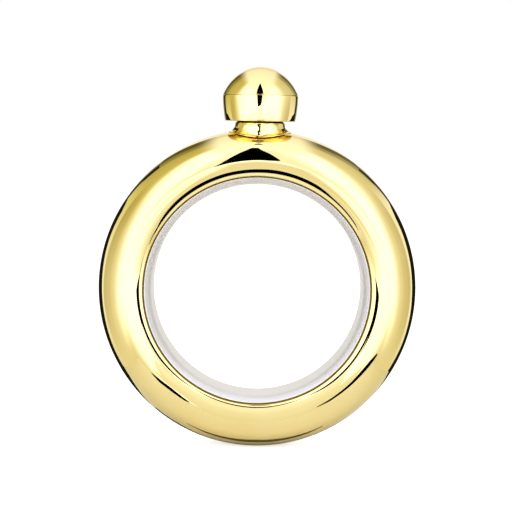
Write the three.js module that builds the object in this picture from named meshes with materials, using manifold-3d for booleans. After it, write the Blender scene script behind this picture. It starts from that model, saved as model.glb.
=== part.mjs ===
// Bangle flask: a wearable ring that holds a drink, with a short neck and a domed screw cap.
// Millimetres, +Z up. The ring's axis lies along Y, its front faces -Y and its lowest point is the origin.

import * as THREE from 'three';
import { mergeVertices } from 'three/addons/utils/BufferGeometryUtils.js';
import Module from 'manifold-3d';

const wasm = await Module();
wasm.setup();

// Ring body
const WRIST_DIAMETER = 69.2; // clear opening for the hand
const BODY_DEPTH = 17.9; // band to outermost point of the ring, along a radius
const RING_WIDTH = 28; // front crown to rear crown
const CROWN_DEPTH = 10; // outermost point to the crown, along a radius
const REST_LAND = 1; // flat on each crown, which the flask lies on
const BAND_FLAT = 17.2; // width of the level part of the inner band
const SEAM_RISE = 2.4; // band to the seam between band and shell, along a radius
const BODY_SHEET = 0.7; // wall of the shells and of the band
const LAP = 3; // length of the band's tongue behind each shell
const JOGGLE = 0.9; // length over which the band steps down to its tongue

// Neck and the collar round its foot
const NECK_HEIGHT = 10.4; // outermost point of the ring to the lip
const NECK_BORE = 12;
const NECK_DIAMETER = 15; // over the thread
const NECK_FOOT_DIAMETER = 17; // where the neck leaves the ring
const NECK_CONE = 2.5; // height of the slight cone between ring and cap
const NECK_DRAW_IN = 0.6; // how much that cone narrows, in radius
const NECK_STEP = 0.5; // height of the steep taper between cone and thread
const NECK_PROJECTION = 1; // how far the neck reaches into the cavity below the shells
const LIP_ROUND = 0.5;
const COLLAR_REACH = 1.9; // how far the collar stands out from the neck's foot
const COLLAR_RISE = 1.1; // thickness of the collar against the neck
const COLLAR_EDGE = 0.35; // thickness of the collar at its rim

// Screw cap
const CAP_DIAMETER = 25; // at the crease between dome and skirt
const CAP_FOOT_DIAMETER = 23.1;
const SKIRT_HEIGHT = 8.5;
const DOME_HEIGHT = 9.4;
const DOME_TIP_RADIUS = 11.6;
const CAP_SHEET = 0.8;
const SPIGOT_LENGTH = 1.5; // ring of the dome that fits inside the skirt
const INSERT_RECESS = 0.6; // foot of the skirt to the foot of the insert
const INSERT_ROOF = 1.2;
const CREASE_DROP = 0.7; // insert's ceiling down to the crease
const LINER_THICKNESS = 1.4;

// Clearance between neighbours that are not flat against each other
const FIT_GAP = 0.3;

// Facets
const RING_FACETS = 48;
const ROUND_FACETS = 32;
const FLANK_STEPS = 8;
const SHOULDER_STEPS = 4;
const DOME_STEPS = 7;
const SKIRT_STEPS = 4;
const CORNER_STEPS = 2;
const COLLAR_STEPS = 4;

const GOLD = new THREE.MeshStandardMaterial({ color: 0xd9bd6b, roughness: 0.08, metalness: 1 });
const BARE_STEEL = new THREE.MeshStandardMaterial({ color: 0xd6d5d0, roughness: 0.32, metalness: 1 });
const INSERT_PLASTIC = new THREE.MeshStandardMaterial({ color: 0x262523, roughness: 0.45, metalness: 0 });
const LINER_RUBBER = new THREE.MeshStandardMaterial({ color: 0xcfd2cf, roughness: 0.6, metalness: 0 });

const QUARTER = Math.PI / 2;

const wristRadius = WRIST_DIAMETER / 2;
const ringRadius = wristRadius + BODY_DEPTH;
const ringTop = 2 * ringRadius;
const halfWidth = RING_WIDTH / 2;
const crownRadius = ringRadius - CROWN_DEPTH;
const landOuter = crownRadius + REST_LAND / 2;
const landInner = crownRadius - REST_LAND / 2;

// The shoulder between crown and band is the ellipse that leaves the crown level
// and meets the band's level part at its edge.
const shoulderRun = landInner - wristRadius;
const shoulderDepth = shoulderRun / Math.sqrt(1 - (BAND_FLAT / RING_WIDTH) ** 2);
const seamAngle = Math.asin((shoulderRun - SEAM_RISE) / shoulderDepth);
const arcPerAngle = Math.hypot(shoulderDepth * Math.cos(seamAngle), halfWidth * Math.sin(seamAngle));

const lipHeight = ringTop + NECK_HEIGHT;
const ceilingHeight = lipHeight + LINER_THICKNESS;
const creaseHeight = ceilingHeight - CREASE_DROP;
const capFootHeight = creaseHeight - SKIRT_HEIGHT;

// Lists f(0) to f(1) in equal steps.
function sweep(steps, f) {
  return Array.from({ length: steps + 1 }, (unused, i) => f(i / steps));
}

// Tube section outside the crown: angle 0 at the ring's outermost line, a quarter turn at the crown.
function flankPoint(angle, inset) {
  const run = ringRadius - landOuter - inset;
  return new THREE.Vector2(landOuter + run * Math.cos(angle), (halfWidth - inset) * Math.sin(angle));
}

// Tube section inside the crown: angle 0 at the crown, growing towards the band.
function shoulderPoint(angle, inset) {
  const run = shoulderDepth - inset;
  return new THREE.Vector2(landInner - run * Math.sin(angle), (halfWidth - inset) * Math.cos(angle));
}

// Angle on the shoulder where the band's level part begins.
function bandEdgeAngle(inset) {
  return Math.asin((shoulderRun - inset) / (shoulderDepth - inset));
}

// Height of the ring's outer surface above a point near the neck.
function ringSurfaceHeight(x, y) {
  const radius = landOuter + (ringRadius - landOuter) * Math.sqrt(1 - (y / halfWidth) ** 2);
  return ringRadius + Math.sqrt(radius ** 2 - x ** 2);
}

// Surface of revolution about Y from a closed outline that runs anticlockwise.
function turned(outline, facets) {
  const closed = THREE.ShapeUtils.isClockWise(outline) ? [...outline].reverse() : [...outline];
  closed.push(closed[0].clone());
  const geometry = new THREE.LatheGeometry(closed, facets);
  geometry.deleteAttribute('normal');
  geometry.deleteAttribute('uv');
  return mergeVertices(geometry);
}

// The same about Z, for outlines given as radius against height.
function turnedUpright(outline) {
  return turned(outline, ROUND_FACETS).rotateX(QUARTER);
}

function toSolid(geometry) {
  const vertProperties = new Float32Array(geometry.attributes.position.array);
  const triVerts = new Uint32Array(geometry.index.array);
  return new wasm.Manifold(new wasm.Mesh({ numProp: 3, vertProperties, triVerts }));
}

function toGeometry(solid) {
  const mesh = solid.getMesh();
  const geometry = new THREE.BufferGeometry();
  geometry.setAttribute('position', new THREE.BufferAttribute(mesh.vertProperties, 3));
  geometry.setIndex(new THREE.BufferAttribute(mesh.triVerts, 1));
  return geometry;
}

const flask = new THREE.Group();

function addPiece(name, geometry, material, parent = flask) {
  const piece = new THREE.Mesh(geometry, material);
  piece.name = name;
  parent.add(piece);
  return piece;
}

// Ring

const ring = new THREE.Group();
ring.position.z = ringRadius;
flask.add(ring);

// Half of the pressed hollow ring, from the outermost line over the crown to the seam.
function shellOutline() {
  const outside = [
    ...sweep(FLANK_STEPS, (t) => flankPoint(t * QUARTER, 0)),
    ...sweep(SHOULDER_STEPS, (t) => shoulderPoint(t * seamAngle, 0)),
  ];
  const inside = [
    ...sweep(FLANK_STEPS, (t) => flankPoint(t * QUARTER, BODY_SHEET)),
    ...sweep(SHOULDER_STEPS, (t) => shoulderPoint(t * seamAngle, BODY_SHEET)),
  ];
  return [...outside, ...inside.reverse()];
}

function mirrored(outline) {
  return outline.map((point) => new THREE.Vector2(point.x, -point.y));
}

// The hole for the neck is drilled across the butt joint of both shells.
const neckHole = new THREE.CylinderGeometry(
  NECK_FOOT_DIAMETER / 2 + FIT_GAP,
  NECK_FOOT_DIAMETER / 2 + FIT_GAP,
  ringRadius,
  ROUND_FACETS,
);
neckHole.deleteAttribute('normal');
neckHole.deleteAttribute('uv');
neckHole.rotateX(QUARTER);
neckHole.translate(0, 0, ringRadius);
const neckDrill = toSolid(mergeVertices(neckHole));

function pressedShell(outline) {
  return toGeometry(toSolid(turned(outline, RING_FACETS)).subtract(neckDrill));
}

addPiece('front_shell', pressedShell(mirrored(shellOutline())), GOLD, ring);
addPiece('rear_shell', pressedShell(shellOutline()), GOLD, ring);

// One end of the inner band: rounded shoulder, step down at the seam and tongue behind the shell.
function bandEnd() {
  const lapAngle = seamAngle - LAP / arcPerAngle;
  const joggleAngle = seamAngle + JOGGLE / arcPerAngle;
  const behindShell = BODY_SHEET + FIT_GAP;
  const side = (inset, tongueInset) => {
    const edge = bandEdgeAngle(inset);
    return [
      ...sweep(SHOULDER_STEPS, (t) => shoulderPoint(THREE.MathUtils.lerp(edge, joggleAngle, t), inset)),
      ...sweep(CORNER_STEPS, (t) => shoulderPoint(THREE.MathUtils.lerp(seamAngle, lapAngle, t), tongueInset)),
    ];
  };
  return { shown: side(0, behindShell), hidden: side(BODY_SHEET, behindShell + BODY_SHEET) };
}

function bandOutline() {
  const { shown, hidden } = bandEnd();
  return [...shown, ...[...hidden].reverse(), ...mirrored(hidden), ...mirrored(shown).reverse()];
}

addPiece('inner_band', turned(bandOutline(), RING_FACETS), BARE_STEEL, ring);

// Neck

const neckRadius = NECK_DIAMETER / 2;
const neckFootRadius = NECK_FOOT_DIAMETER / 2;
const neckBoreRadius = NECK_BORE / 2;
const neckConeTop = ringTop + NECK_CONE;
const neckBottom = ringSurfaceHeight(0, neckFootRadius) - BODY_SHEET - NECK_PROJECTION;

function quarterRound(centreRadius, centreHeight, radius, from) {
  return sweep(CORNER_STEPS, (t) => {
    const angle = from + t * QUARTER;
    const round = new THREE.Vector2(radius * Math.cos(angle), radius * Math.sin(angle));
    return round.add(new THREE.Vector2(centreRadius, centreHeight));
  });
}

const neckOutline = [
  new THREE.Vector2(neckBoreRadius, neckBottom),
  new THREE.Vector2(neckFootRadius, neckBottom),
  new THREE.Vector2(neckFootRadius, ringTop),
  new THREE.Vector2(neckFootRadius - NECK_DRAW_IN, neckConeTop),
  new THREE.Vector2(neckRadius, neckConeTop + NECK_STEP),
  ...quarterRound(neckRadius - LIP_ROUND, lipHeight - LIP_ROUND, LIP_ROUND, 0),
  new THREE.Vector2(neckBoreRadius, lipHeight),
];
addPiece('neck', turnedUpright(neckOutline), GOLD);

// The collar is a flared saddle: it follows the double curve of the ring all round the neck
// and thickens towards the neck in a hollow sweep.
function saddleCollar() {
  const inner = neckFootRadius + FIT_GAP;
  const outer = neckFootRadius + COLLAR_REACH;
  const reach = sweep(COLLAR_STEPS, (t) => THREE.MathUtils.lerp(inner, outer, t));
  const hollow = (radius) => (1 - (radius - inner) / (outer - inner)) ** 2;
  const thickness = (radius) => COLLAR_EDGE + (COLLAR_RISE - COLLAR_EDGE) * hollow(radius);
  const loop = [
    ...reach.map((radius) => ({ radius, lift: FIT_GAP })),
    ...[...reach].reverse().map((radius) => ({ radius, lift: FIT_GAP + thickness(radius) })),
  ];
  const positions = [];
  const indices = [];
  for (let i = 0; i < ROUND_FACETS; i++) {
    const angle = (i * 2 * Math.PI) / ROUND_FACETS;
    loop.forEach(({ radius, lift }, j) => {
      const x = radius * Math.sin(angle);
      const y = radius * Math.cos(angle);
      positions.push(x, y, ringSurfaceHeight(x, y) + lift);
      const here = i * loop.length + j;
      const along = i * loop.length + ((j + 1) % loop.length);
      const turn = ((i + 1) % ROUND_FACETS) * loop.length;
      const beside = turn + j;
      const opposite = turn + ((j + 1) % loop.length);
      indices.push(here, along, beside, along, opposite, beside);
    });
  }
  const geometry = new THREE.BufferGeometry();
  geometry.setAttribute('position', new THREE.Float32BufferAttribute(positions, 3));
  geometry.setIndex(indices);
  return geometry;
}

addPiece('neck_collar', saddleCollar(), GOLD);

// Cap

const creaseRadius = CAP_DIAMETER / 2;

// A conic dome: radius at a depth below the tip, for a given tip radius and rim.
function domeShape(tipRadius, rimRadius, height) {
  const fullness = (2 * tipRadius * height - rimRadius ** 2) / height ** 2;
  return {
    radiusAt: (depth) => Math.sqrt(2 * tipRadius * depth - fullness * depth ** 2),
    depthAt: (radius) => (tipRadius - Math.sqrt(tipRadius ** 2 - fullness * radius ** 2)) / fullness,
  };
}

// Points from the tip down to a rim, crowded towards the tip where the dome curves most.
function domeProfile(shape, tipHeight, depth) {
  return sweep(DOME_STEPS, (t) => {
    const below = depth * t ** 2;
    return new THREE.Vector2(shape.radiusAt(below), tipHeight - below);
  });
}

const tipHeight = creaseHeight + DOME_HEIGHT;
const spigotRadius = creaseRadius - CAP_SHEET - FIT_GAP;
const spigotBoreRadius = spigotRadius - CAP_SHEET;
const spigotFoot = creaseHeight - SPIGOT_LENGTH;
const outerDome = domeShape(DOME_TIP_RADIUS, creaseRadius, DOME_HEIGHT);
const innerDome = domeShape(DOME_TIP_RADIUS - CAP_SHEET, creaseRadius - CAP_SHEET, DOME_HEIGHT - CAP_SHEET);

const domeOutline = [
  ...domeProfile(outerDome, tipHeight, DOME_HEIGHT),
  new THREE.Vector2(spigotRadius, creaseHeight),
  new THREE.Vector2(spigotRadius, spigotFoot),
  new THREE.Vector2(spigotBoreRadius, spigotFoot),
  ...domeProfile(innerDome, tipHeight - CAP_SHEET, innerDome.depthAt(spigotBoreRadius)).reverse(),
];
addPiece('cap_dome', turnedUpright(domeOutline), GOLD);

// The skirt leaves the crease upright and is drawn in towards its foot on one arc.
const skirtDrawIn = (CAP_DIAMETER - CAP_FOOT_DIAMETER) / 2;
const barrelRadius = (SKIRT_HEIGHT ** 2 + skirtDrawIn ** 2) / (2 * skirtDrawIn);

function skirtRadius(height) {
  const below = creaseHeight - height;
  return creaseRadius - barrelRadius + Math.sqrt(barrelRadius ** 2 - below ** 2);
}

function skirtProfile(from, to, inset) {
  return sweep(SKIRT_STEPS, (t) => {
    const height = THREE.MathUtils.lerp(from, to, t);
    return new THREE.Vector2(skirtRadius(height) - inset, height);
  });
}

const skirtOutline = [
  ...skirtProfile(capFootHeight, creaseHeight, 0),
  ...skirtProfile(creaseHeight, capFootHeight, CAP_SHEET),
];
addPiece('cap_skirt', turnedUpright(skirtOutline), GOLD);

// The insert drops into the tapered skirt from above, and the dome's spigot holds it down.
const insertFoot = capFootHeight + INSERT_RECESS;
const insertBoreRadius = neckRadius + FIT_GAP;
const insertStep = spigotFoot - FIT_GAP;
const insertTop = ceilingHeight + INSERT_ROOF;
const insertHeadRadius = spigotBoreRadius - FIT_GAP;
const insertRoofRadius = Math.min(
  insertHeadRadius,
  innerDome.radiusAt(tipHeight - CAP_SHEET - insertTop) - FIT_GAP,
);

const insertOutline = [
  new THREE.Vector2(insertBoreRadius, insertFoot),
  ...skirtProfile(insertFoot, insertStep, CAP_SHEET + FIT_GAP),
  new THREE.Vector2(insertHeadRadius, insertStep),
  new THREE.Vector2(insertHeadRadius, ceilingHeight),
  new THREE.Vector2(insertRoofRadius, insertTop),
  new THREE.Vector2(0, insertTop),
  new THREE.Vector2(0, ceilingHeight),
  new THREE.Vector2(insertBoreRadius, ceilingHeight),
];
addPiece('cap_insert', turnedUpright(insertOutline), INSERT_PLASTIC);

// The liner lies on the neck's lip and under the insert's ceiling.
const linerRadius = insertBoreRadius - FIT_GAP;
const linerOutline = [
  new THREE.Vector2(0, lipHeight),
  new THREE.Vector2(linerRadius, lipHeight),
  new THREE.Vector2(linerRadius, ceilingHeight),
  new THREE.Vector2(0, ceilingHeight),
];
addPiece('cap_liner', turnedUpright(linerOutline), LINER_RUBBER);

export default flask;
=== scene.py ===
# Bangle flask: the fine forms and finishes of every piece, and a small light tent round it.
# Metres, +Z up, the front of the ring at -Y and its lowest point at the origin.
import math

import bmesh
import bpy
from mathutils import Matrix, Vector


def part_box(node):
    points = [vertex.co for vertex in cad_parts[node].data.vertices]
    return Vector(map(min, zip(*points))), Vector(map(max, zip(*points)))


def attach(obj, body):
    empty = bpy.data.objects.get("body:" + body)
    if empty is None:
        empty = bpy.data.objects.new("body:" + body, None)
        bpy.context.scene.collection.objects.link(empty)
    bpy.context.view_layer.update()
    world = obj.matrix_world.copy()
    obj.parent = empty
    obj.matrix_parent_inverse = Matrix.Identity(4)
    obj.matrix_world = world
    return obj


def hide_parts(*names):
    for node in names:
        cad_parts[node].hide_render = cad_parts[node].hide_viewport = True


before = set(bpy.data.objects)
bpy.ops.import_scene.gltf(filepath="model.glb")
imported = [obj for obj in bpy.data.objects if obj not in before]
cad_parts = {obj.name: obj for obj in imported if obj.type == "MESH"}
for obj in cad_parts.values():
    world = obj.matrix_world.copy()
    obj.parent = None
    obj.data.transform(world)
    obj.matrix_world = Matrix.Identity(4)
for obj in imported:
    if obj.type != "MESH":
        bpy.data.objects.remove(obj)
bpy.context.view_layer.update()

MM = 0.001
TURN = 2 * math.pi

# Sizes of the ring
CROWN_DEPTH = 10 * MM  # outermost line to the crown, along a radius
WRIST_RADIUS = 34.6 * MM
BAND_FLAT = 17.2 * MM  # width of the level part of the inner band
BAND_EASING = 1.4 * MM  # reach of the soft bend between the band's level part and its shoulder
BAND_LIP = 0.5 * MM  # length of the shoulder that is left to the band's rounded edge at the seam
BAND_LIP_ROUND = 0.3 * MM
SEAM_RISE = 2.4 * MM  # band to the seam, along a radius
SEAM_GAP = 0.6 * MM  # width of the groove between shell and band
BODY_SHEET = 0.7 * MM
EDGE_ROLL = 0.98  # rounding of the shell's edge as a share of half the sheet
LAP = 3 * MM  # tongue of the band behind each shell
BUTT_GAP = 0.02 * MM  # from the outermost line to either shell
BUTT_ROUND = 0.14 * MM

# Sizes of the neck
NECK_BORE = 6.0 * MM  # radius
NECK_ROOT = 6.85 * MM  # radius between the threads
NECK_CONE = 2.5 * MM  # height of the slight cone between ring and cap
NECK_DRAW_IN = 0.3 * MM  # how much that cone narrows, in radius
NECK_STEP = 0.7 * MM  # half the height of the steep taper between cone and thread
THREAD_DEPTH = 0.65 * MM
THREAD_PITCH = 3 * MM
THREAD_RUNOUT = 1.1 * MM
THREAD_FOOT = 3.2 * MM  # start of the thread above the ring
THREAD_HEAD = 0.9 * MM  # end of the thread below the lip
LIP_ROUND_OUT = THREAD_HEAD / 2.2
LIP_ROUND_IN = THREAD_HEAD / 2.6
COLLAR_RISE = 1.2 * MM  # height of the collar's sweep above the ring, against the neck
COLLAR_EDGE = 0.15 * MM
COLLAR_FRONT_SHARE = 0.45  # reach at the front and back as a share of the reach at the sides
COLLAR_SEAT = 0.03 * MM  # clear height between collar and ring
CLOSE_FIT = 0.03 * MM

# Sizes of the cap
DOME_TIP_RADIUS = 11.6 * MM
SKIRT_FOOT_RADIUS = 11.55 * MM
CAP_SHEET = 0.8 * MM
CREASE_GROOVE = 0.3 * MM
CREASE_GAP = 0.05 * MM
FOOT_ROLL = 0.3 * MM
FOOT_LIP_REACH = 2.9 * MM  # lip that the skirt turns in below the insert
FOOT_LIP_SHEET = 0.45 * MM
SCREW_CLEARANCE = 0.3 * MM
INSERT_FOOT_ROUND = 0.35 * MM
INSERT_CEILING_ROUND = 0.4 * MM
INSERT_THREAD_FOOT = 0.7 * MM  # start of the thread above the insert's foot
LINER_ROUND = 0.25 * MM
LINER_MARK_DEPTH = 0.015 * MM  # of the ring that the lip presses into the liner
LINER_MARK_SLOPE = 0.25 * MM  # width of the slope on either side of that ring

# Mesh steps
RING_SEGMENTS = 288
ROUND_SEGMENTS = 144
CORNER_STEPS = 6
FLANK_STEPS = 96
SHOULDER_STEPS = 48
NECK_STEPS = 12
COLLAR_STEPS = 20
DOME_STEPS = 72
SKIRT_STEPS = 40
THREAD_STEPS = 90
SAME_PLACE = 0.0005 * MM  # corners that are closer than this become one
SHARP_ANGLE = math.radians(40)

# Photograph's frame
FRAME_PIXELS = 512
FOCAL_PIXELS = 1815
SENSOR_WIDTH = 36.0
CLIP_START = 10 * MM
EYE = Vector((-0.00054, -0.6, 0.1035))
EYE_PITCH = math.radians(3.855)
EYE_ROLL = math.radians(1.05)

# Colours
GOLD_DEEP, GOLD_PALE = (0.915, 0.75, 0.305), (0.945, 0.79, 0.345)
STEEL_DULL, STEEL_CLEAR = (0.73, 0.705, 0.65), (0.82, 0.795, 0.74)
# painted shade in the seam's groove, yellow-brown like the gold that the groove reflects
SEAM_PAINTED_SHADE = (0.5, 0.4, 0.05)
PLASTIC_DEEP, PLASTIC_PALE = (0.016, 0.0155, 0.015), (0.028, 0.027, 0.026)
RUBBER_DEEP, RUBBER_PALE = (0.56, 0.58, 0.57), (0.64, 0.655, 0.64)
BROWN_CLOTH = (0.76, 0.72, 0.36)
FILL_DEEP, FILL_PALE = (0.45, 0.445, 0.43), (0.47, 0.465, 0.45)
FLOOR_PAPER = (0.82, 0.8, 0.75)
FLOOR_EXTRA = (0.72, 0.72, 0.72)  # whiteness that the camera alone sees on the floor
ROOM_LIGHT = (0.7, 0.7, 0.7)
WHITE = (1, 1, 1)
BLACK = (0, 0, 0)

# Light tent: an open tunnel of glowing cloth, a far front panel, dark gaps between them, a pale floor
TENT_HALF = 80 * MM
TENT_TOP = 240 * MM
TENT_CORNER = 50 * MM
TENT_BACK = 200 * MM
TENT_FRONT = -80 * MM  # front rim of the tunnel at the floor
RIM_SKEW = 6 * MM  # how much further the rim reaches on the left than in the middle
RIM_LEAN = 48 * MM  # how much further it reaches at the top than at the floor
CLOTH_STEPS = 12
WALL_CARD_GAP = 1 * MM  # from the tunnel's walls to the dark strips in front of them
PANEL_DEPTH = -612 * MM
PANEL_LEFT = -495 * MM
PANEL_RIGHT = 635 * MM
PANEL_TOP = 974 * MM
SURROUND_REACH = 2500 * MM
SURROUND_GAP = 3 * MM  # from the front panel to the dark surround behind it
FLOOR_REACH = 4000 * MM
CONTACT_LEVEL = 0.1 * MM
GAP_LEVEL = 0.2 * MM
SWEEP_LEVEL = 0.4 * MM

# Cards inside the tent
SLIT_LOW_DEPTH = -130 * MM
SLIT_HIGH_DEPTH = -62 * MM
NEEDLE_DEPTH = -17 * MM
STREAK_DEPTH = -60 * MM
SHELF_BACK = -42 * MM
SHELF_RISE = 28 * MM  # height of the shelf at its back
SHELF_SLOPE = 0.357  # fall of the shelf towards the front
SHELF_SHEET = 0.05 * MM  # from its dark top to its pale underside
APRON_TOP = 12 * MM
VEIL_DEPTH = -60 * MM
VEIL_MIDDLE = 3 * MM
VEIL_HALF = 18 * MM
VEIL_FOOT = 52 * MM
VEIL_TOP = 89 * MM
VEIL_FADE = 4 * MM
CAP_CARD_DEPTH = -45 * MM
CAP_CARD_NEAR = 26 * MM  # from the middle to its near side
CAP_CARD_FAR = 56 * MM
CAP_CARD_FOOT = 95 * MM
CAP_CARD_TOP = 119 * MM
FILL_DEPTH = 45 * MM
FILL_RADIUS = 44 * MM

# Edges of cards on the floor and the shelf, in millimetres: place across, depth
GAP_EDGE = [
    (-80, -97), (-68, -95), (-55, -100), (-43, -116), (-31, -120), (-25, -116),
    (-20, -60), (27, -116), (45, -120), (65, -122), (75, -116), (90, -104),
]
SWEEP_EDGE = [
    (-350, -440), (-262, -260), (-190, -150), (-84, -91), (-68, -88), (-55, -92), (-43, -108),
    (-31, -112), (-26, -110), (-24, -60), (-22, -50), (26, -50), (28, -108), (45, -110),
    (66, -114), (75, -108), (82, -100), (86, -90), (200, -150), (290, -260), (405, -410),
]
SHELF_NEAR = [(-32, -49), (-19, -47), (-16, -46), (-5, -45.3), (0, -42.4), (30, -42.4), (34, -42)]
SHELF_FAR = [(-32, -62), (-19, -64), (-18, -90), (-5, -97), (0, -88), (30, -85), (36, -71)]
APRON_EDGE = SHELF_FAR[2:6]
TAIL_NEAR = [(-26, -26), (-19, -26), (-16, -26), (-5, -26), (0, -26), (20, -26)]
TAIL_FAR = [(-26, -48.1), (-19, -47), (-16, -46), (-5, -45.3), (0, -42.4), (20, -42.4)]
SHADE_RIGHT_NEAR = [(46, 74), (63, 55), (79, 39)]
SHADE_RIGHT_FAR = [(46, 200), (62, 200), (79, 200)]
SHADE_LEFT_NEAR = [(-79, 28), (-69, 22), (-56, 24), (-44, 33), (-34, 46)]
SHADE_LEFT_FAR = [(-79, 200), (-69, 140), (-56, 100), (-44, 80), (-34, 58)]
CONTACT_NEAR = [(-26, -6.2), (-18, -7.4), (-9, -8.6), (0, -9.4), (9, -8.6), (18, -7.2), (26, -5.6)]
CONTACT_FAR = [(-26, -5.6), (-18, -6), (-9, -6.8), (0, -7.2), (9, -6.6), (18, -5.2), (26, -4.6)]
REAR_NEAR = [(-41, 16), (-29, 5), (-18, 2), (-8, -1), (0, -2), (9, -0.5), (19, 5), (30, 14), (42, 34)]
REAR_FAR = [(-41, 34), (-29, 20), (-18, 15), (-8, 11), (0, 10), (9, 11), (19, 18), (30, 28), (42, 48)]

# Edges of the dark strips low in front, in millimetres: place across, height
STREAK_LEFT_LOW = [(-47, 10), (-43, 7), (-36, 8.5), (-30, 8), (-26, 7), (-23, 9.5)]
STREAK_LEFT_HIGH = [(-46, 11.5), (-37, 15), (-29, 18), (-25, 19), (-22.5, 17), (-21, 12)]
STREAK_RIGHT_LOW = [(66, 14), (55, 11), (46, 9.5), (37.5, 7), (29.5, 5), (22, 7.5)]
STREAK_RIGHT_HIGH = [(61, 18), (46, 21), (38.5, 20), (32, 15.5), (26, 12.5), (21, 10)]

# Front edges of the dark strips on the walls, in millimetres: height, depth
FLAG_LEFT = [
    (0, 30), (15, 26), (25, 22), (34, 19), (42, 18), (51, 18), (59, 20), (68, 23),
    (76, 26), (86, 28), (92, 30), (97, 42), (100, 60), (116, 64), (121, 54), (140, 56),
]
FLAG_RIGHT = [
    (0, 30), (12, 27), (21, 26), (31, 23), (39, 21), (48, 18), (56, 18), (65, 20),
    (73, 22), (83, 26), (91, 29), (97, 42), (100, 62), (116, 66), (121, 60), (140, 68),
]

# Outlines of the dark slits, in millimetres: height, left, right
SLIT_LOW = [
    (90, -18, -15), (93, -18.5, 3), (99, -19.5, 8), (106, -20, 10.5), (112, -20.8, 11),
    (120, -21.7, 11.8), (136, -22.4, 11.8), (160, -23.4, 11), (185, -23.3, 9.6), (205, -22.9, 7.4),
]
SLIT_HIGH = [
    (134, -13.6, 5.8), (140, -13.2, 4.8), (150, -12.2, 3.2),
    (162, -10.8, 1.6), (175, -9.8, 0.4), (192, -7.8, -1.6),
]
NEEDLE = [
    (120.5, -2.7, 1.9), (124, -2.6, 1.7), (127, -2.4, 1.4),
    (130, -2.1, 1), (134, -1.7, 0.5), (142, -0.7, -0.4),
]

# Brightness of cloth and cards
BRIGHTEST = 2.2
WARM = Vector((1.0, 0.94, 0.7))  # tint of the dim cloth
COOL = Vector((0.95, 0.98, 1.18))  # tint of the bright cloth
WARM_UP_TO, COOL_FROM = 0.62, 1.32
WALL_FOOT = 0.88
PANEL_DIM, PANEL_BRIGHT = 1.2, 2.1
SWEEP_DIM = 1.45
VEIL_DIM, VEIL_BRIGHT = 0.95, 1.8
CAP_CARD_DIM, CAP_CARD_BRIGHT = 2.05, 2.15
APRON_DIM, APRON_BRIGHT = 0.92, 0.98
CONTACT_DIM, CONTACT_BRIGHT = 0.04, 0.1

# Brightness from front to back: depth in millimetres, brightness
LOW_WALLS = [
    (-66, 2.05), (-54, 1.95), (-44, 1.5), (-34, 1.12), (-22, 0.92), (-9, 0.76), (5, 0.68), (45, 0.62),
]
REAR_WALLS = [(-10, 0.6), (7, 0.65), (13, 1.12), (30, 1.12)]
HIGH_WALLS = [
    (-60, 2.1), (-44, 1.7), (-30, 1.3), (-15, 1), (0, 0.86), (42, 0.75), (60, 0.42), (74, 0.4), (110, 0.15),
]
ROOF = [
    (-125, 1.5), (-80, 1.5), (-40, 1.35), (0, 1.3), (40, 1.2), (90, 1.12), (130, 0.98), (170, 0.85),
]
SWEEP = [(-420, 2.1), (-300, 1.9), (-220, 1.55), (-150, 1.15), (-100, 0.96), (-60, 0.96)]
SHELF_PAPER = [(-97, 0.98), (-65, 1), (-45, 1.04), (-26, 1.2)]
REAR_GAP = [(75, 0.01), (110, 0.1), (150, 0.4), (200, 0.62)]

shell_low, shell_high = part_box("front_shell")
neck_low, neck_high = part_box("neck")
dome_low, dome_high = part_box("cap_dome")
skirt_low, skirt_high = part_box("cap_skirt")
insert_low, insert_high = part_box("cap_insert")
liner_low, liner_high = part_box("cap_liner")

ring_radius = shell_high.x
ring_height = ring_radius  # of its centre
ring_top = 2 * ring_radius
half_width = -shell_low.y
crown_radius = ring_radius - CROWN_DEPTH
band_depth = (crown_radius - WRIST_RADIUS) / math.sqrt(1 - (BAND_FLAT / 2 / half_width) ** 2)
seam_angle = math.acos((WRIST_RADIUS + SEAM_RISE - crown_radius) / band_depth)
band_edge_angle = math.acos((WRIST_RADIUS - crown_radius) / band_depth)
collar_bore = neck_high.x + CLOSE_FIT
collar_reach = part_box("neck_collar")[1].x
insert_bore = liner_high.x + SCREW_CLEARANCE


# Outlines


def spread(steps, f):
    """Lists f(0) to f(1) in equal steps."""
    return [f(i / steps) for i in range(steps + 1)]


def mix(a, b, t):
    return a + (b - a) * t


def ease(t):
    t = min(max(t, 0), 1)
    return t * t * (3 - 2 * t)


def bend(start, corner, end, steps):
    """Soft curve from start to end that is drawn towards a corner."""
    return spread(steps, lambda t: start.lerp(corner, t).lerp(corner.lerp(end, t), t))


def softened(outline):
    """Rounds the corners of a closed outline that give, as a third value, how far the rounding reaches."""
    points = []
    for i, entry in enumerate(outline):
        corner = Vector(entry[:2])
        if len(entry) == 2:
            points.append(corner)
            continue
        before = Vector(outline[i - 1][:2]) - corner
        after = Vector(outline[(i + 1) % len(outline)][:2]) - corner
        start = corner + before.normalized() * entry[2]
        end = corner + after.normalized() * entry[2]
        points += bend(start, corner, end, CORNER_STEPS)
    return points


def mirrored(outline):
    return [(entry[0], -entry[1], *entry[2:]) for entry in outline]


def section(angle, inset=0):
    """Point on the tube's section: a quarter turn is the crown, less the outer flank, more the shoulder."""
    depth = CROWN_DEPTH if angle < TURN / 4 else band_depth
    radius = crown_radius + (depth - inset) * math.cos(angle)
    return radius, (half_width - inset) * math.sin(angle)


def section_run(start, end, steps, inset=0):
    return spread(steps, lambda t: section(mix(start, end, t), inset))


def section_step(length):
    """Change of angle that moves a point along the shoulder by a length, near the seam."""
    return length / math.hypot(band_depth * math.sin(seam_angle), half_width * math.cos(seam_angle))


def ring_surface(x, y):
    """Height of the ring's outer surface above a point near the neck."""
    radius = crown_radius + CROWN_DEPTH * math.sqrt(1 - (y / half_width) ** 2)
    return ring_height + math.sqrt(radius**2 - x**2)


# Meshes


def about_ring(angle, radius, along_axis):
    return Vector((radius * math.sin(angle), along_axis, ring_height + radius * math.cos(angle)))


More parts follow.
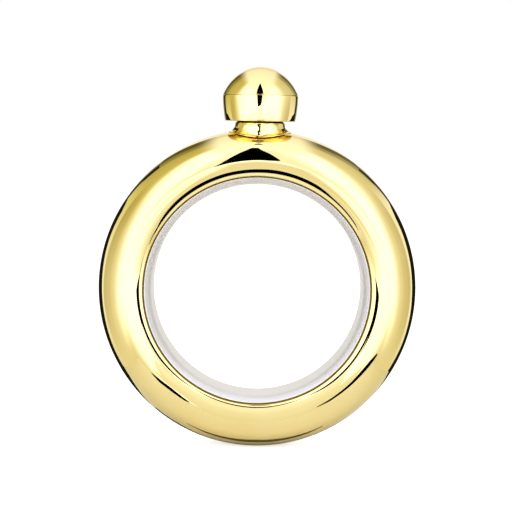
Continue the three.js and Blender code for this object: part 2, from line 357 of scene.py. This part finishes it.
def about_neck(angle, radius, height):
    return Vector((radius * math.cos(angle), radius * math.sin(angle), height))


def on_ring(angle, radius, lift):
    x, y = radius * math.cos(angle), radius * math.sin(angle)
    return Vector((x, y, ring_surface(x, y) + lift))


def placed(name, data):
    """New object in the scene."""
    made = bpy.data.objects.new(name, data)
    bpy.context.scene.collection.objects.link(made)
    return made


def turned(name, outline, place, segments):
    """Closed outline swept once round, each point put in its place by a function of angle and outline."""
    form = bmesh.new()
    rows = []
    for k in range(segments):
        angle = TURN * k / segments
        rows.append([form.verts.new(place(angle, point[0], point[1])) for point in outline])
    for k in range(segments):
        row, beside = rows[k], rows[(k + 1) % segments]
        for j in range(len(outline)):
            i = j - 1
            form.faces.new((row[i], beside[i], beside[j], row[j]))
    bmesh.ops.remove_doubles(form, verts=form.verts, dist=SAME_PLACE)
    bmesh.ops.recalc_face_normals(form, faces=form.faces)
    mesh = bpy.data.meshes.new(name)
    form.to_mesh(mesh)
    form.free()
    return placed(name, mesh)


def drilled(piece, drill):
    """Takes the drill's shape out of a piece and removes the drill."""
    cut = piece.modifiers.new("hole", "BOOLEAN")
    cut.operation = "DIFFERENCE"
    cut.solver = "EXACT"
    cut.object = drill
    bpy.context.view_layer.update()
    shaped = piece.evaluated_get(bpy.context.evaluated_depsgraph_get())
    mesh = bpy.data.meshes.new_from_object(shaped)
    piece.modifiers.clear()
    piece.data = mesh
    mesh.name = piece.name
    bpy.data.objects.remove(drill)


def finished(piece, node, body, material):
    mesh = piece.data
    mesh.shade_smooth()
    mesh.set_sharp_from_angle(angle=SHARP_ANGLE)
    mesh.materials.clear()
    mesh.materials.append(material)
    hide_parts(node)
    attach(piece, body)


# Shader sockets


class Wire:
    """A shader socket that takes part in Python arithmetic on plain values."""

    def __init__(self, sheet, socket):
        self.sheet = sheet
        self.socket = socket

    def also(self, output):
        """Another output of the same node."""
        return Wire(self.sheet, self.socket.node.outputs[output])

    def math(self, operation, *values):
        return self.sheet.node("ShaderNodeMath", {"operation": operation}, dict(enumerate(values)))

    def __add__(self, other):
        return self.math("ADD", self, other)

    def __sub__(self, other):
        return self.math("SUBTRACT", self, other)

    def __rsub__(self, other):
        return self.math("SUBTRACT", other, self)

    def __mul__(self, other):
        return self.math("MULTIPLY", self, other)

    def __truediv__(self, other):
        return self.math("DIVIDE", self, other)

    def __rtruediv__(self, other):
        return self.math("DIVIDE", other, self)

    def __pow__(self, other):
        return self.math("POWER", self, other)

    def __rpow__(self, other):
        return self.math("POWER", other, self)

    def __abs__(self):
        return self.math("ABSOLUTE", self)

    __radd__ = __add__
    __rmul__ = __mul__

    def larger(self, other):
        return self.math("MAXIMUM", self, other)

    def over(self, low, high):
        """0 as far as low, 1 from high on, and a soft rise between them; high may be the smaller one."""
        sockets = {"Value": self, "From Min": low, "From Max": high}
        return self.sheet.node("ShaderNodeMapRange", {"interpolation_type": "SMOOTHSTEP"}, sockets)


class Sheet:
    """Node tree of one finish."""

    def __init__(self, owner):
        owner.use_nodes = True
        self.tree = owner.node_tree
        self.tree.nodes.clear()

    def node(self, kind, settings=None, sockets=None, output=0):
        """New node with its settings and sockets; gives the wire of one of its outputs."""
        made = self.tree.nodes.new(kind)
        for name, value in (settings or {}).items():
            if name == "stops":
                self.set_stops(made.color_ramp, value)
            else:
                setattr(made, name, value)
        for name, value in (sockets or {}).items():
            socket = made.inputs[name]
            if isinstance(value, Wire):
                self.tree.links.new(value.socket, socket)
            else:
                socket.default_value = (*value, 1) if socket.type == "RGBA" else value
        return Wire(self, made.outputs[output]) if len(made.outputs) else None

    @staticmethod
    def set_stops(ramp, stops):
        ramp.interpolation = "EASE"
        while len(ramp.elements) < len(stops):
            ramp.elements.new(1)
        for element, (place, colour) in zip(ramp.elements, stops):
            element.position = place
            element.color = (*colour, 1)

    def place(self):
        return self.node("ShaderNodeTexCoord", output="Object")

    def stretched(self, scale, turn=(0, 0, 0)):
        sockets = {"Vector": self.place(), "Rotation": turn, "Scale": scale}
        return self.node("ShaderNodeMapping", None, sockets)

    def split(self, vector):
        """The three parts of a vector: place across, depth and height."""
        across = self.node("ShaderNodeSeparateXYZ", None, {"Vector": vector})
        return across, across.also("Y"), across.also("Z")

    def room_place(self):
        return self.split(self.node("ShaderNodeNewGeometry"))

    def noise(self, vector, scale, detail, roughness=0.5):
        sockets = {"Vector": vector, "Scale": scale, "Detail": detail, "Roughness": roughness}
        return self.node("ShaderNodeTexNoise", None, sockets)

    def blend(self, share, first, second, kind="MIX"):
        """Blend of two colours; the Mix node's colours are its inputs 6 and 7 and its output 2."""
        settings = {"data_type": "RGBA", "blend_type": kind}
        return self.node("ShaderNodeMix", settings, {0: share, 6: first, 7: second}, output=2)

    def bump(self, height, depth):
        return self.node("ShaderNodeBump", None, {"Height": height, "Distance": depth})


def new_material(name, shader):
    """Material with the surface that a function puts on its sheet."""
    material = bpy.data.materials.new(name)
    sheet = Sheet(material)
    sheet.node("ShaderNodeOutputMaterial", None, {"Surface": shader(sheet)})
    return material


# Finishes


def surface(name, sockets):
    """Finish whose Principled shader gets its sockets from a function of the sheet."""
    return new_material(name, lambda sheet: sheet.node("ShaderNodeBsdfPrincipled", None, sockets(sheet)))


def hairlines(sheet, turn, scale):
    """Short fine polishing lines in one direction, 0 to 1."""
    lines = sheet.noise(sheet.stretched((3, 90, 90), turn), scale, detail=1.0)
    return lines.over(0.64, 0.74)


def gold_finish(sheet, waves, depth):
    """Polished gold plate with a few hairlines, over a surface that swells in waves of a depth."""
    cloud = sheet.noise(sheet.place(), scale=55.0, detail=3.0)
    smear = sheet.noise(sheet.stretched((1, 1, 2.5)), scale=130.0, detail=4.0, roughness=0.65)
    marks = hairlines(sheet, (0.3, 0.2, 0.5), 20.0) + hairlines(sheet, (1.1, -0.6, 2.1), 17.0)
    swell = sheet.noise(sheet.place(), waves, detail=1.0)
    return {
        "Base Color": sheet.blend(cloud.over(0.3, 0.7), GOLD_DEEP, GOLD_PALE),
        "Metallic": 1.0,
        "Roughness": 0.015 + 0.035 * smear.over(0.5, 0.8) + 0.02 * marks,
        "Normal": sheet.bump(swell, depth),
    }


def polished_gold(sheet):
    return gold_finish(sheet, waves=75.0, depth=0.05 * MM)


def lumpy_gold(sheet):
    """Gold over the weld at the neck, polished by hand and not quite even."""
    return gold_finish(sheet, waves=420.0, depth=0.32 * MM)


def satin_steel(sheet):
    """Brushed steel, with a painted yellow-brown shade, tinted like reflected gold, in the groove of the
    seam.
    """
    brushed = sheet.noise(sheet.stretched((14, 900, 14)), scale=5.0, detail=3.0, roughness=0.6)
    fine = sheet.noise(sheet.stretched((30, 2600, 30)), scale=4.0, detail=2.0)
    haze = sheet.noise(sheet.place(), scale=90.0, detail=3.0)
    across, _, height = sheet.split(sheet.place())
    radius = (across**2 + (height - ring_height) ** 2) ** 0.5
    groove = section(seam_angle + section_step(SEAM_GAP / 2))[0]
    # painted shade and painted gold reflection in the groove of the seam
    painted_shade = radius.over(groove - 0.02 * MM, groove + 0.1 * MM)
    brushed_colour = sheet.blend(brushed.over(0.3, 0.7), STEEL_DULL, STEEL_CLEAR)
    return {
        "Base Color": sheet.blend(painted_shade, brushed_colour, SEAM_PAINTED_SHADE),
        "Metallic": 0.85,
        "Roughness": 0.4 + 0.12 * brushed + 0.08 * haze,
        "Normal": sheet.bump(brushed + fine, 0.01 * MM),
    }


def moulded_plastic(sheet):
    cloud = sheet.noise(sheet.place(), scale=120.0, detail=3.0)
    grain = sheet.noise(sheet.place(), scale=2600.0, detail=2.0)
    return {
        "Base Color": sheet.blend(cloud.over(0.3, 0.7), PLASTIC_DEEP, PLASTIC_PALE),
        "Roughness": 0.42 + 0.12 * cloud,
        "Normal": sheet.bump(grain, 0.01 * MM),
    }


def sealing_rubber(sheet):
    cloud = sheet.noise(sheet.place(), scale=200.0, detail=3.0)
    grain = sheet.noise(sheet.place(), scale=3600.0, detail=2.0)
    return {
        "Base Color": sheet.blend(cloud.over(0.3, 0.7), RUBBER_DEEP, RUBBER_PALE),
        "Roughness": 0.58 + 0.14 * grain,
        "Normal": sheet.bump(grain, 0.015 * MM),
    }


gold = surface("polished_gold", polished_gold)
weld_gold = surface("lumpy_gold", lumpy_gold)
steel = surface("satin_steel", satin_steel)
plastic = surface("moulded_plastic", moulded_plastic)
rubber = surface("sealing_rubber", sealing_rubber)


# Ring


def shell_outline():
    """Half of the pressed ring: outermost line, flank, crown, shoulder and the rolled edge at the seam."""
    edge_angle = seam_angle - section_step(SEAM_GAP / 2)
    edge_reach = BODY_SHEET / 2
    roll = edge_reach * EDGE_ROLL
    flank_start, crown = math.asin(2 * BUTT_ROUND / half_width), TURN / 4
    curve_end = edge_angle - section_step(edge_reach)
    outside = [
        (ring_radius, BUTT_GAP, BUTT_ROUND),
        *section_run(flank_start, crown, FLANK_STEPS),
        *section_run(crown, curve_end, SHOULDER_STEPS)[1:],
        (*section(edge_angle), roll),
    ]
    inside = [
        (ring_radius - BODY_SHEET, BUTT_GAP),
        *section_run(flank_start, crown, FLANK_STEPS // 4, BODY_SHEET),
        *section_run(crown, curve_end, SHOULDER_STEPS // 4, BODY_SHEET)[1:],
        (*section(edge_angle, BODY_SHEET), roll),
    ]
    return [*outside, *reversed(inside)]


def band_outline():
    """Level band with soft shoulders; at each seam it steps down to a tongue behind the shell."""
    step_angle = seam_angle + section_step(SEAM_GAP / 2)
    lip_angle = step_angle + section_step(BAND_LIP)
    ease_angle = band_edge_angle - section_step(BAND_EASING)
    lap_angle = seam_angle - section_step(LAP)
    outer_inset = BODY_SHEET + SEAM_GAP / 2
    inner_inset = outer_inset + BODY_SHEET
    level_end = BAND_FLAT / 2 - BAND_EASING
    level, corner = Vector((WRIST_RADIUS, level_end)), Vector((WRIST_RADIUS, BAND_FLAT / 2))
    shown = [
        *bend(level, corner, Vector(section(ease_angle)), 2 * CORNER_STEPS),
        *section_run(ease_angle, lip_angle, SHOULDER_STEPS // 2)[1:],
        (*section(step_angle), BAND_LIP_ROUND),
        section(step_angle, outer_inset),
        section(lap_angle, outer_inset),
    ]
    hidden = [
        (WRIST_RADIUS + BODY_SHEET, level_end),
        *section_run(band_edge_angle, step_angle, CORNER_STEPS, inner_inset),
        section(lap_angle, inner_inset),
    ]
    return [*shown, *reversed(hidden), *mirrored(hidden), *reversed(mirrored(shown))]


def neck_drill():
    radius = neck_high.x + SCREW_CLEARANCE
    outline = [(0, neck_low.z), (radius, neck_low.z), (radius, neck_high.z), (0, neck_high.z)]
    return turned("neck_drill", outline, about_neck, ROUND_SEGMENTS)


def build_ring():
    halves = {"front_shell": mirrored(shell_outline()), "rear_shell": shell_outline()}
    for node, outline in halves.items():
        shell = turned(node + "_polished", softened(outline), about_ring, RING_SEGMENTS)
        drilled(shell, neck_drill())
        finished(shell, node, "flask", gold)
    band = turned("inner_band_satin", softened(band_outline()), about_ring, RING_SEGMENTS)
    finished(band, "inner_band", "flask", steel)


# Neck


def thread_wave(angle, height):
    """1 on the ridge of the neck's thread, 0 midway between two ridges."""
    return 0.5 + 0.5 * math.cos(TURN * height / THREAD_PITCH - angle)


def thread_fade(height, low, high):
    """1 along the thread, with a soft run-out to 0 at both ends."""
    return ease((height - low) / THREAD_RUNOUT) * ease((high - height) / THREAD_RUNOUT)


def neck_outline():
    foot, lip = neck_high.x, neck_high.z
    waist, cone_top = foot - NECK_DRAW_IN, ring_top + NECK_CONE
    taper_foot, taper_top = cone_top - NECK_STEP, cone_top + NECK_STEP
    return [
        (NECK_BORE, neck_low.z),
        (foot, neck_low.z),
        *spread(NECK_STEPS, lambda t: (mix(foot, waist, t), mix(ring_top, taper_foot, t))),
        *spread(NECK_STEPS, lambda t: (mix(waist, NECK_ROOT, ease(t)), mix(taper_foot, taper_top, t)))[1:],
        *spread(THREAD_STEPS, lambda t: (NECK_ROOT, mix(taper_top, lip - THREAD_HEAD / 2, t)))[1:],
        (NECK_ROOT, lip, LIP_ROUND_OUT),
        (NECK_BORE, lip, LIP_ROUND_IN),
    ]


def neck_place(angle, radius, height):
    if abs(radius - NECK_ROOT) < CLOSE_FIT:
        fade = thread_fade(height, ring_top + THREAD_FOOT, neck_high.z - THREAD_HEAD)
        radius += THREAD_DEPTH * fade * thread_wave(angle, height)
    return about_neck(angle, radius, height)


def collar_outline():
    edge = collar_reach - COLLAR_EDGE
    return [
        (collar_bore, COLLAR_SEAT),
        (mix(collar_bore, collar_reach, 0.5), COLLAR_SEAT),
        (collar_reach, COLLAR_SEAT),
        (collar_reach, COLLAR_EDGE, COLLAR_EDGE / 2),
        *spread(COLLAR_STEPS, lambda t: (mix(edge, collar_bore, t), mix(COLLAR_EDGE, COLLAR_RISE, t**2))),
    ]


def collar_place(angle, radius, lift):
    share = mix(COLLAR_FRONT_SHARE, 1, math.cos(angle) ** 2)
    return on_ring(angle, mix(collar_bore, radius, share), lift)


def build_neck():
    neck = turned("neck_threaded", softened(neck_outline()), neck_place, ROUND_SEGMENTS)
    finished(neck, "neck", "flask", weld_gold)
    collar = turned("neck_collar_flared", softened(collar_outline()), collar_place, ROUND_SEGMENTS)
    finished(collar, "neck_collar", "flask", weld_gold)


# Cap


def dome_radius(depth, tip_radius, rim_radius, height):
    """Radius of a conic dome at a depth below its tip."""
    fullness = (2 * tip_radius * height - rim_radius**2) / height**2
    return math.sqrt(max(2 * tip_radius * depth - fullness * depth**2, 0))


def dome_profile(inset, end_depth, steps):
    height = dome_high.z - skirt_high.z - inset
    tip, rim = DOME_TIP_RADIUS - inset, skirt_high.x - inset

    def point(t):
        depth = end_depth * t**2
        return dome_radius(depth, tip, rim, height), dome_high.z - inset - depth

    return spread(steps, point)


def dome_outline():
    crease = skirt_high.z + CREASE_GAP
    rim = skirt_high.x
    height = dome_high.z - skirt_high.z
    spigot = rim - CAP_SHEET - SCREW_CLEARANCE
    return [
        *dome_profile(0, height - 2 * CREASE_GROOVE, DOME_STEPS),
        (rim, crease, CREASE_GROOVE),
        (spigot, crease),
        (spigot, dome_low.z),
        (spigot - CAP_SHEET, dome_low.z),
        *reversed(dome_profile(CAP_SHEET, height - CAP_SHEET - 3 * CREASE_GROOVE, DOME_STEPS // 3)),
    ]


def skirt_radius(height):
    """The skirt leaves the crease upright and is drawn in towards its foot on one arc."""
    draw_in = skirt_high.x - SKIRT_FOOT_RADIUS
    drop = skirt_high.z - skirt_low.z
    barrel = (drop**2 + draw_in**2) / (2 * draw_in)
    below = skirt_high.z - height
    return skirt_high.x - barrel + math.sqrt(barrel**2 - below**2)


def skirt_profile(low, high, inset, steps):
    return spread(steps, lambda t: (skirt_radius(mix(low, high, t)) - inset, mix(low, high, t)))


def skirt_outline():
    foot, crease = skirt_low.z, skirt_high.z
    lip, lip_top = SKIRT_FOOT_RADIUS - FOOT_LIP_REACH, foot + FOOT_LIP_SHEET
    return [
        (SKIRT_FOOT_RADIUS, foot, FOOT_ROLL),
        *skirt_profile(foot + 2 * FOOT_ROLL, crease - 2 * CREASE_GROOVE, 0, SKIRT_STEPS),
        (skirt_high.x, crease, CREASE_GROOVE),
        (skirt_high.x - CAP_SHEET, crease),
        *skirt_profile(crease - CREASE_GROOVE, lip_top, CAP_SHEET, SKIRT_STEPS // 2),
        (lip, lip_top, FOOT_LIP_SHEET / 3),
        (lip, foot, FOOT_LIP_SHEET / 3),
    ]


def insert_outline():
    foot, top, ceiling = insert_low.z, insert_high.z, liner_high.z
    step = dome_low.z - SCREW_CLEARANCE
    gap = CAP_SHEET + SCREW_CLEARANCE
    head = skirt_high.x - 2 * gap
    bore_top, bore_foot = ceiling - 2 * INSERT_CEILING_ROUND, foot + INSERT_THREAD_FOOT
    return [
        (insert_bore, foot, INSERT_FOOT_ROUND),
        (skirt_radius(foot) - gap, foot, INSERT_FOOT_ROUND),
        *skirt_profile(foot + 2 * SCREW_CLEARANCE, step, gap, SKIRT_STEPS // 4),
        (head, step),
        (head, ceiling),
        (head - 2 * SCREW_CLEARANCE, top),
        (0, top),
        (0, ceiling + CLOSE_FIT),
        (insert_bore, ceiling + CLOSE_FIT, INSERT_CEILING_ROUND),
        *spread(THREAD_STEPS, lambda t: (insert_bore, mix(bore_top, bore_foot, t))),
    ]


def insert_place(angle, radius, height):
    if abs(radius - insert_bore) < CLOSE_FIT:
        fade = thread_fade(height, insert_low.z + INSERT_THREAD_FOOT, liner_low.z - THREAD_HEAD)
        radius -= THREAD_DEPTH * fade * (1 - thread_wave(angle, height))
    return about_neck(angle, radius, height)


def liner_outline():
    rim = liner_high.x
    low, high = liner_low.z + CLOSE_FIT, liner_high.z - CLOSE_FIT
    face = low - LINER_MARK_DEPTH
    return [
        (0, face),
        (NECK_BORE - LINER_MARK_SLOPE, face),
        (NECK_BORE, low),
        (NECK_ROOT, low),
        (NECK_ROOT + LINER_MARK_SLOPE, face),
        (rim, low, LINER_ROUND),
        (rim, high, LINER_ROUND),
        (0, high),
    ]


def build_cap():
    dome = turned("cap_dome_polished", softened(dome_outline()), about_neck, ROUND_SEGMENTS)
    finished(dome, "cap_dome", "cap", gold)
    skirt = turned("cap_skirt_polished", softened(skirt_outline()), about_neck, ROUND_SEGMENTS)
    finished(skirt, "cap_skirt", "cap", gold)
    insert = turned("cap_insert_threaded", softened(insert_outline()), insert_place, ROUND_SEGMENTS)
    finished(insert, "cap_insert", "cap", plastic)
    liner = turned("cap_liner_pressed", softened(liner_outline()), about_neck, ROUND_SEGMENTS)
    finished(liner, "cap_liner", "liner", rubber)


# Shapes of cloth and cards, as rows of points


def upright(depth, left, right, foot, top):
    return [[(left, depth, z), (right, depth, z)] for z in (foot, top)]


def flat(level, edge, far_left, far_right):
    """Sheet on the floor from an edge of several corners to a straight edge below the front panel."""
    near_row = [(x * MM, y * MM, level) for x, y in edge]
    return [near_row, spread(len(edge) - 1, lambda t: (mix(far_left, far_right, t), PANEL_DEPTH, level))]


def strip(near, far, height):
    """Sheet between two edges of as many corners each; height gives its height at a depth."""
    return [[(x * MM, y * MM, height(y * MM)) for x, y in edge] for edge in (near, far)]


def shelf_height(y):
    return SHELF_RISE + (y - SHELF_BACK) * SHELF_SLOPE


def under_shelf(y):
    return shelf_height(y) - SHELF_SHEET


def apron():
    """Upright sheet below the far edge of the shelf."""
    return [[(x * MM, y * MM, z) for x, y in APRON_EDGE] for z in (0, APRON_TOP)]


def streak(low, high):
    """Upright strip between a lower and an upper edge of as many corners each."""
    return [[(x * MM, STREAK_DEPTH, z * MM) for x, z in edge] for edge in (low, high)]


def blade(outline, depth):
    """Upright sheet with its outline given by rows of height, left and right."""
    return [[(left * MM, depth, z * MM), (right * MM, depth, z * MM)] for z, left, right in outline]


def flag(x, edge):
    """Strip on a wall from a front edge to the tunnel's back."""
    return [[(x, y * MM, z * MM), (x, TENT_BACK, z * MM)] for z, y in edge]


def disc(depth, radius):
    """Upright round sheet behind the ring's opening."""

    def chord(t):
        rise = radius * math.cos(t * TURN / 2)
        half = math.sqrt(radius**2 - rise**2)
        return [(-half, depth, ring_height + rise), (half, depth, ring_height + rise)]

    return spread(2 * CLOTH_STEPS, chord)


def tunnel():
    """Rows of points from front to back, round the right wall, the ceiling and the left wall."""
    corner_x, corner_z = TENT_HALF - TENT_CORNER, TENT_TOP - TENT_CORNER

    def corner(t):
        angle = t * TURN / 4
        return corner_x + TENT_CORNER * math.cos(angle), corner_z + TENT_CORNER * math.sin(angle)

    right = [*spread(CLOTH_STEPS, lambda t: (TENT_HALF, corner_z * t)), *spread(CLOTH_STEPS, corner)[1:]]
    left = [(-x, z) for x, z in reversed(right)]
    rows = []
    for x, z in [*right, *left]:
        rim = TENT_FRONT + RIM_SKEW * x / TENT_HALF - RIM_LEAN * (z / TENT_TOP) ** 2
        rows.append([(x, rim, z), (x, TENT_BACK, z)])
    return rows


# Shades of cloth and cards


def tone(brightness):
    """Colour of cloth at a brightness: warm where it is dim, cool where it is bright."""
    tint = WARM.lerp(COOL, ease((brightness - WARM_UP_TO) / (COOL_FROM - WARM_UP_TO)))
    return tuple(tint * brightness / BRIGHTEST)


def along(sheet, place, stops):
    """Shade that changes along a place, from pairs of a place in millimetres and a brightness."""
    low, high = stops[0][0], stops[-1][0]
    ramp = [((at - low) / (high - low), tone(brightness)) for at, brightness in stops]
    share = (place - low * MM) / ((high - low) * MM)
    return sheet.node("ShaderNodeValToRGB", {"stops": ramp}, {"Fac": share})


def by_depth(stops):
    """Shade that changes from front to back."""

    def shade(sheet):
        _, depth, _ = sheet.room_place()
        return along(sheet, depth, stops)

    return shade


def cloudy(first, second, scale=20.0):
    """Shade that wanders between two colours."""

    def shade(sheet):
        cloud = sheet.noise(sheet.place(), scale, detail=1.0)
        return sheet.blend(cloud.over(0.2, 0.8), first, second)

    return shade


def tent_shade(sheet):
    """Bright at the front rim and dimmer behind it, with a brownish upper part of the left wall."""
    across, depth, height = sheet.room_place()
    behind_ring = depth.over(5 * MM, 12 * MM)
    near_floor = height.over(48 * MM, 0)
    above_ring = height.over(90 * MM, 130 * MM)
    overhead = abs(across).over(77 * MM, 50 * MM)
    brown_side = across.over(0, -60 * MM) * height.over(45 * MM, 115 * MM) * depth.over(-30 * MM, -8 * MM)
    walls = sheet.blend(behind_ring, along(sheet, depth, LOW_WALLS), along(sheet, depth, REAR_WALLS))
    walls = sheet.blend(near_floor, walls, tone(WALL_FOOT))
    walls = sheet.blend(above_ring, walls, along(sheet, depth, HIGH_WALLS))
    walls = sheet.blend(brown_side, walls, BROWN_CLOTH, "MULTIPLY")
    return sheet.blend(overhead, walls, along(sheet, depth, ROOF))


def panel_shade(sheet):
    """Dimmer in the middle above the floor, where the camera stands."""
    across, _, height = sheet.room_place()
    aside = abs(across).over(60 * MM, 260 * MM)
    low = height.over(110 * MM, 30 * MM)
    return sheet.blend(aside.larger(low), tone(PANEL_DIM), tone(PANEL_BRIGHT))


def sweep_shade(sheet):
    """Brighter towards the front panel, and dim in the middle of the way there."""
    across, depth, _ = sheet.room_place()
    midway = depth.over(-560 * MM, -440 * MM) * depth.over(-160 * MM, -220 * MM)
    dim = abs(across).over(60 * MM, 20 * MM) * midway
    return sheet.blend(dim, along(sheet, depth, SWEEP), tone(SWEEP_DIM))


def veil_shade(sheet):
    """As pale as the floor in the middle, and brighter at its upper edge and its ends."""
    across, _, height = sheet.room_place()
    ends = abs(across - VEIL_MIDDLE).over(VEIL_HALF / 2, VEIL_HALF)
    upper_edge = height.over(VEIL_TOP - VEIL_FADE, VEIL_TOP)
    return sheet.blend(upper_edge.larger(ends), tone(VEIL_DIM), tone(VEIL_BRIGHT))


def glow(name, shade):
    """Cloth that glows; shade gives its colour from the sheet."""

    def light(sheet):
        return sheet.node("ShaderNodeEmission", None, {"Color": shade(sheet), "Strength": BRIGHTEST})

    return new_material(name, light)


def black_card(sheet):
    return sheet.node("ShaderNodeBsdfDiffuse", None, {"Color": BLACK})


def floor_paper(sheet):
    """Pale paper that takes the part's shadow and that the camera alone sees whiter."""
    seen = sheet.node("ShaderNodeLightPath", output="Is Camera Ray")
    paper = sheet.node("ShaderNodeBsdfDiffuse", None, {"Color": FLOOR_PAPER})
    extra = sheet.node("ShaderNodeEmission", None, {"Color": sheet.blend(seen, BLACK, FLOOR_EXTRA)})
    return sheet.node("ShaderNodeAddShader", None, {0: paper, 1: extra})


# Light tent


def spanned(name, rows, material):
    """Sheet between rows of points, kept apart from the part's bodies."""
    width = len(rows[0])
    corners = [point for row in rows for point in row]
    faces = [
        (i * width + j, i * width + j + 1, (i + 1) * width + j + 1, (i + 1) * width + j)
        for i in range(len(rows) - 1)
        for j in range(width - 1)
    ]
    mesh = bpy.data.meshes.new(name)
    mesh.from_pydata(corners, [], faces)
    mesh.materials.append(material)
    made = placed(name, mesh)
    return made


def card(name, rows, material, lights=False):
    """Sheet that shows in reflections and that the camera looks through; it may light the part as well."""
    made = spanned(name, rows, material)
    made.visible_camera = False
    made.visible_shadow = False
    made.visible_diffuse = lights


def build_tent():
    card("tent_cloth", tunnel(), glow("tent_cloth_light", tent_shade), lights=True)
    panel = upright(PANEL_DEPTH, PANEL_LEFT, PANEL_RIGHT, 0, PANEL_TOP)
    card("front_panel", panel, glow("tent_front_light", panel_shade), lights=True)
    sweep = flat(SWEEP_LEVEL, SWEEP_EDGE, PANEL_LEFT, PANEL_RIGHT)
    card("front_sweep", sweep, glow("front_sweep_light", sweep_shade))
    paper = glow("shelf_light", by_depth(SHELF_PAPER))
    card("shelf_underside", strip(SHELF_NEAR, SHELF_FAR, under_shelf), paper)
    card("shelf_apron", apron(), glow("shelf_apron_light", cloudy(tone(APRON_DIM), tone(APRON_BRIGHT))))
    card("shelf_tail", strip(TAIL_NEAR, TAIL_FAR, under_shelf), paper)
    veil = upright(VEIL_DEPTH, VEIL_MIDDLE - VEIL_HALF, VEIL_MIDDLE + VEIL_HALF, VEIL_FOOT, VEIL_TOP)
    card("front_veil", veil, glow("front_veil_light", veil_shade))
    card("band_fill", disc(FILL_DEPTH, FILL_RADIUS), glow("band_fill_light", cloudy(FILL_DEEP, FILL_PALE)))
    contact = strip(CONTACT_NEAR, CONTACT_FAR, lambda y: CONTACT_LEVEL)
    brown = cloudy(tone(CONTACT_DIM), tone(CONTACT_BRIGHT), scale=40.0)
    card("ring_shade", contact, glow("ring_shade_brown", brown))
    bright = glow("cap_card_light", cloudy(tone(CAP_CARD_DIM), tone(CAP_CARD_BRIGHT)))
    for side, name in ((-1, "left"), (1, "right")):
        near, far = side * CAP_CARD_NEAR, side * CAP_CARD_FAR
        beside_cap = upright(CAP_CARD_DEPTH, near, far, CAP_CARD_FOOT, CAP_CARD_TOP)
        card("cap_card_" + name, beside_cap, bright)


def build_gaps():
    wall = TENT_HALF - WALL_CARD_GAP
    behind_panel = PANEL_DEPTH - SURROUND_GAP
    dark_gaps = {
        "front_surround": upright(behind_panel, -SURROUND_REACH, SURROUND_REACH, 0, SURROUND_REACH),
        "floor_gap": flat(GAP_LEVEL, GAP_EDGE, -SURROUND_REACH, SURROUND_REACH),
        "floor_shade_middle": strip(REAR_NEAR, REAR_FAR, lambda y: GAP_LEVEL),
        "shelf_top": strip(SHELF_NEAR, SHELF_FAR, shelf_height),
        "streak_left": streak(STREAK_LEFT_LOW, STREAK_LEFT_HIGH),
        "streak_right": streak(STREAK_RIGHT_LOW, STREAK_RIGHT_HIGH),
        "slit_low": blade(SLIT_LOW, SLIT_LOW_DEPTH),
        "slit_high": blade(SLIT_HIGH, SLIT_HIGH_DEPTH),
        "slit_needle": blade(NEEDLE, NEEDLE_DEPTH),
    }
    fading_gaps = {
        "floor_shade_left": strip(SHADE_LEFT_NEAR, SHADE_LEFT_FAR, lambda y: GAP_LEVEL),
        "floor_shade_right": strip(SHADE_RIGHT_NEAR, SHADE_RIGHT_FAR, lambda y: GAP_LEVEL),
        "wall_gap_left": flag(-wall, FLAG_LEFT),
        "wall_gap_right": flag(wall, FLAG_RIGHT),
    }
    dark = new_material("tent_gap_dark", black_card)
    for name, rows in dark_gaps.items():
        card(name, rows, dark)
    fading = glow("rear_gap_light", by_depth(REAR_GAP))
    for name, rows in fading_gaps.items():
        card(name, rows, fading)


def build_floor():
    rows = [[(-FLOOR_REACH, y, 0), (FLOOR_REACH, y, 0)] for y in (-FLOOR_REACH, FLOOR_REACH)]
    spanned("floor", rows, new_material("pale_floor", floor_paper))


def build_sky():
    """White room for the camera and for reflections, which lights the part less than it shows."""
    world = bpy.data.worlds.new("white_room")
    bpy.context.scene.world = world
    sheet = Sheet(world)
    path = sheet.node("ShaderNodeLightPath", output="Is Camera Ray")
    shown = path.larger(path.also("Is Glossy Ray")).larger(path.also("Is Transmission Ray"))
    colour = sheet.blend(shown, ROOM_LIGHT, WHITE)
    light = sheet.node("ShaderNodeBackground", None, {"Color": colour, "Strength": 1.0})
    sheet.node("ShaderNodeOutputWorld", None, {"Surface": light})


def build_camera():
    """Camera at the photograph's place: looks along +Y and a little down, rolled a little."""
    ahead = Vector((0, math.cos(EYE_PITCH), -math.sin(EYE_PITCH)))
    level_right = Vector((1, 0, 0))
    right = level_right * math.cos(EYE_ROLL) + level_right.cross(ahead) * math.sin(EYE_ROLL)
    up = right.cross(ahead)
    data = bpy.data.cameras.new("camera")
    data.sensor_width = SENSOR_WIDTH
    data.lens = FOCAL_PIXELS / FRAME_PIXELS * SENSOR_WIDTH
    data.clip_start = CLIP_START
    camera = placed("camera", data)
    camera.matrix_world = Matrix.Translation(EYE) @ Matrix((right, up, -ahead)).transposed().to_4x4()
    bpy.context.scene.camera = camera


build_ring()
build_neck()
build_cap()
build_tent()
build_gaps()
build_floor()
build_sky()
build_camera()
bpy.context.scene.view_settings.view_transform = "Standard"

bpy.context.view_layer.update()
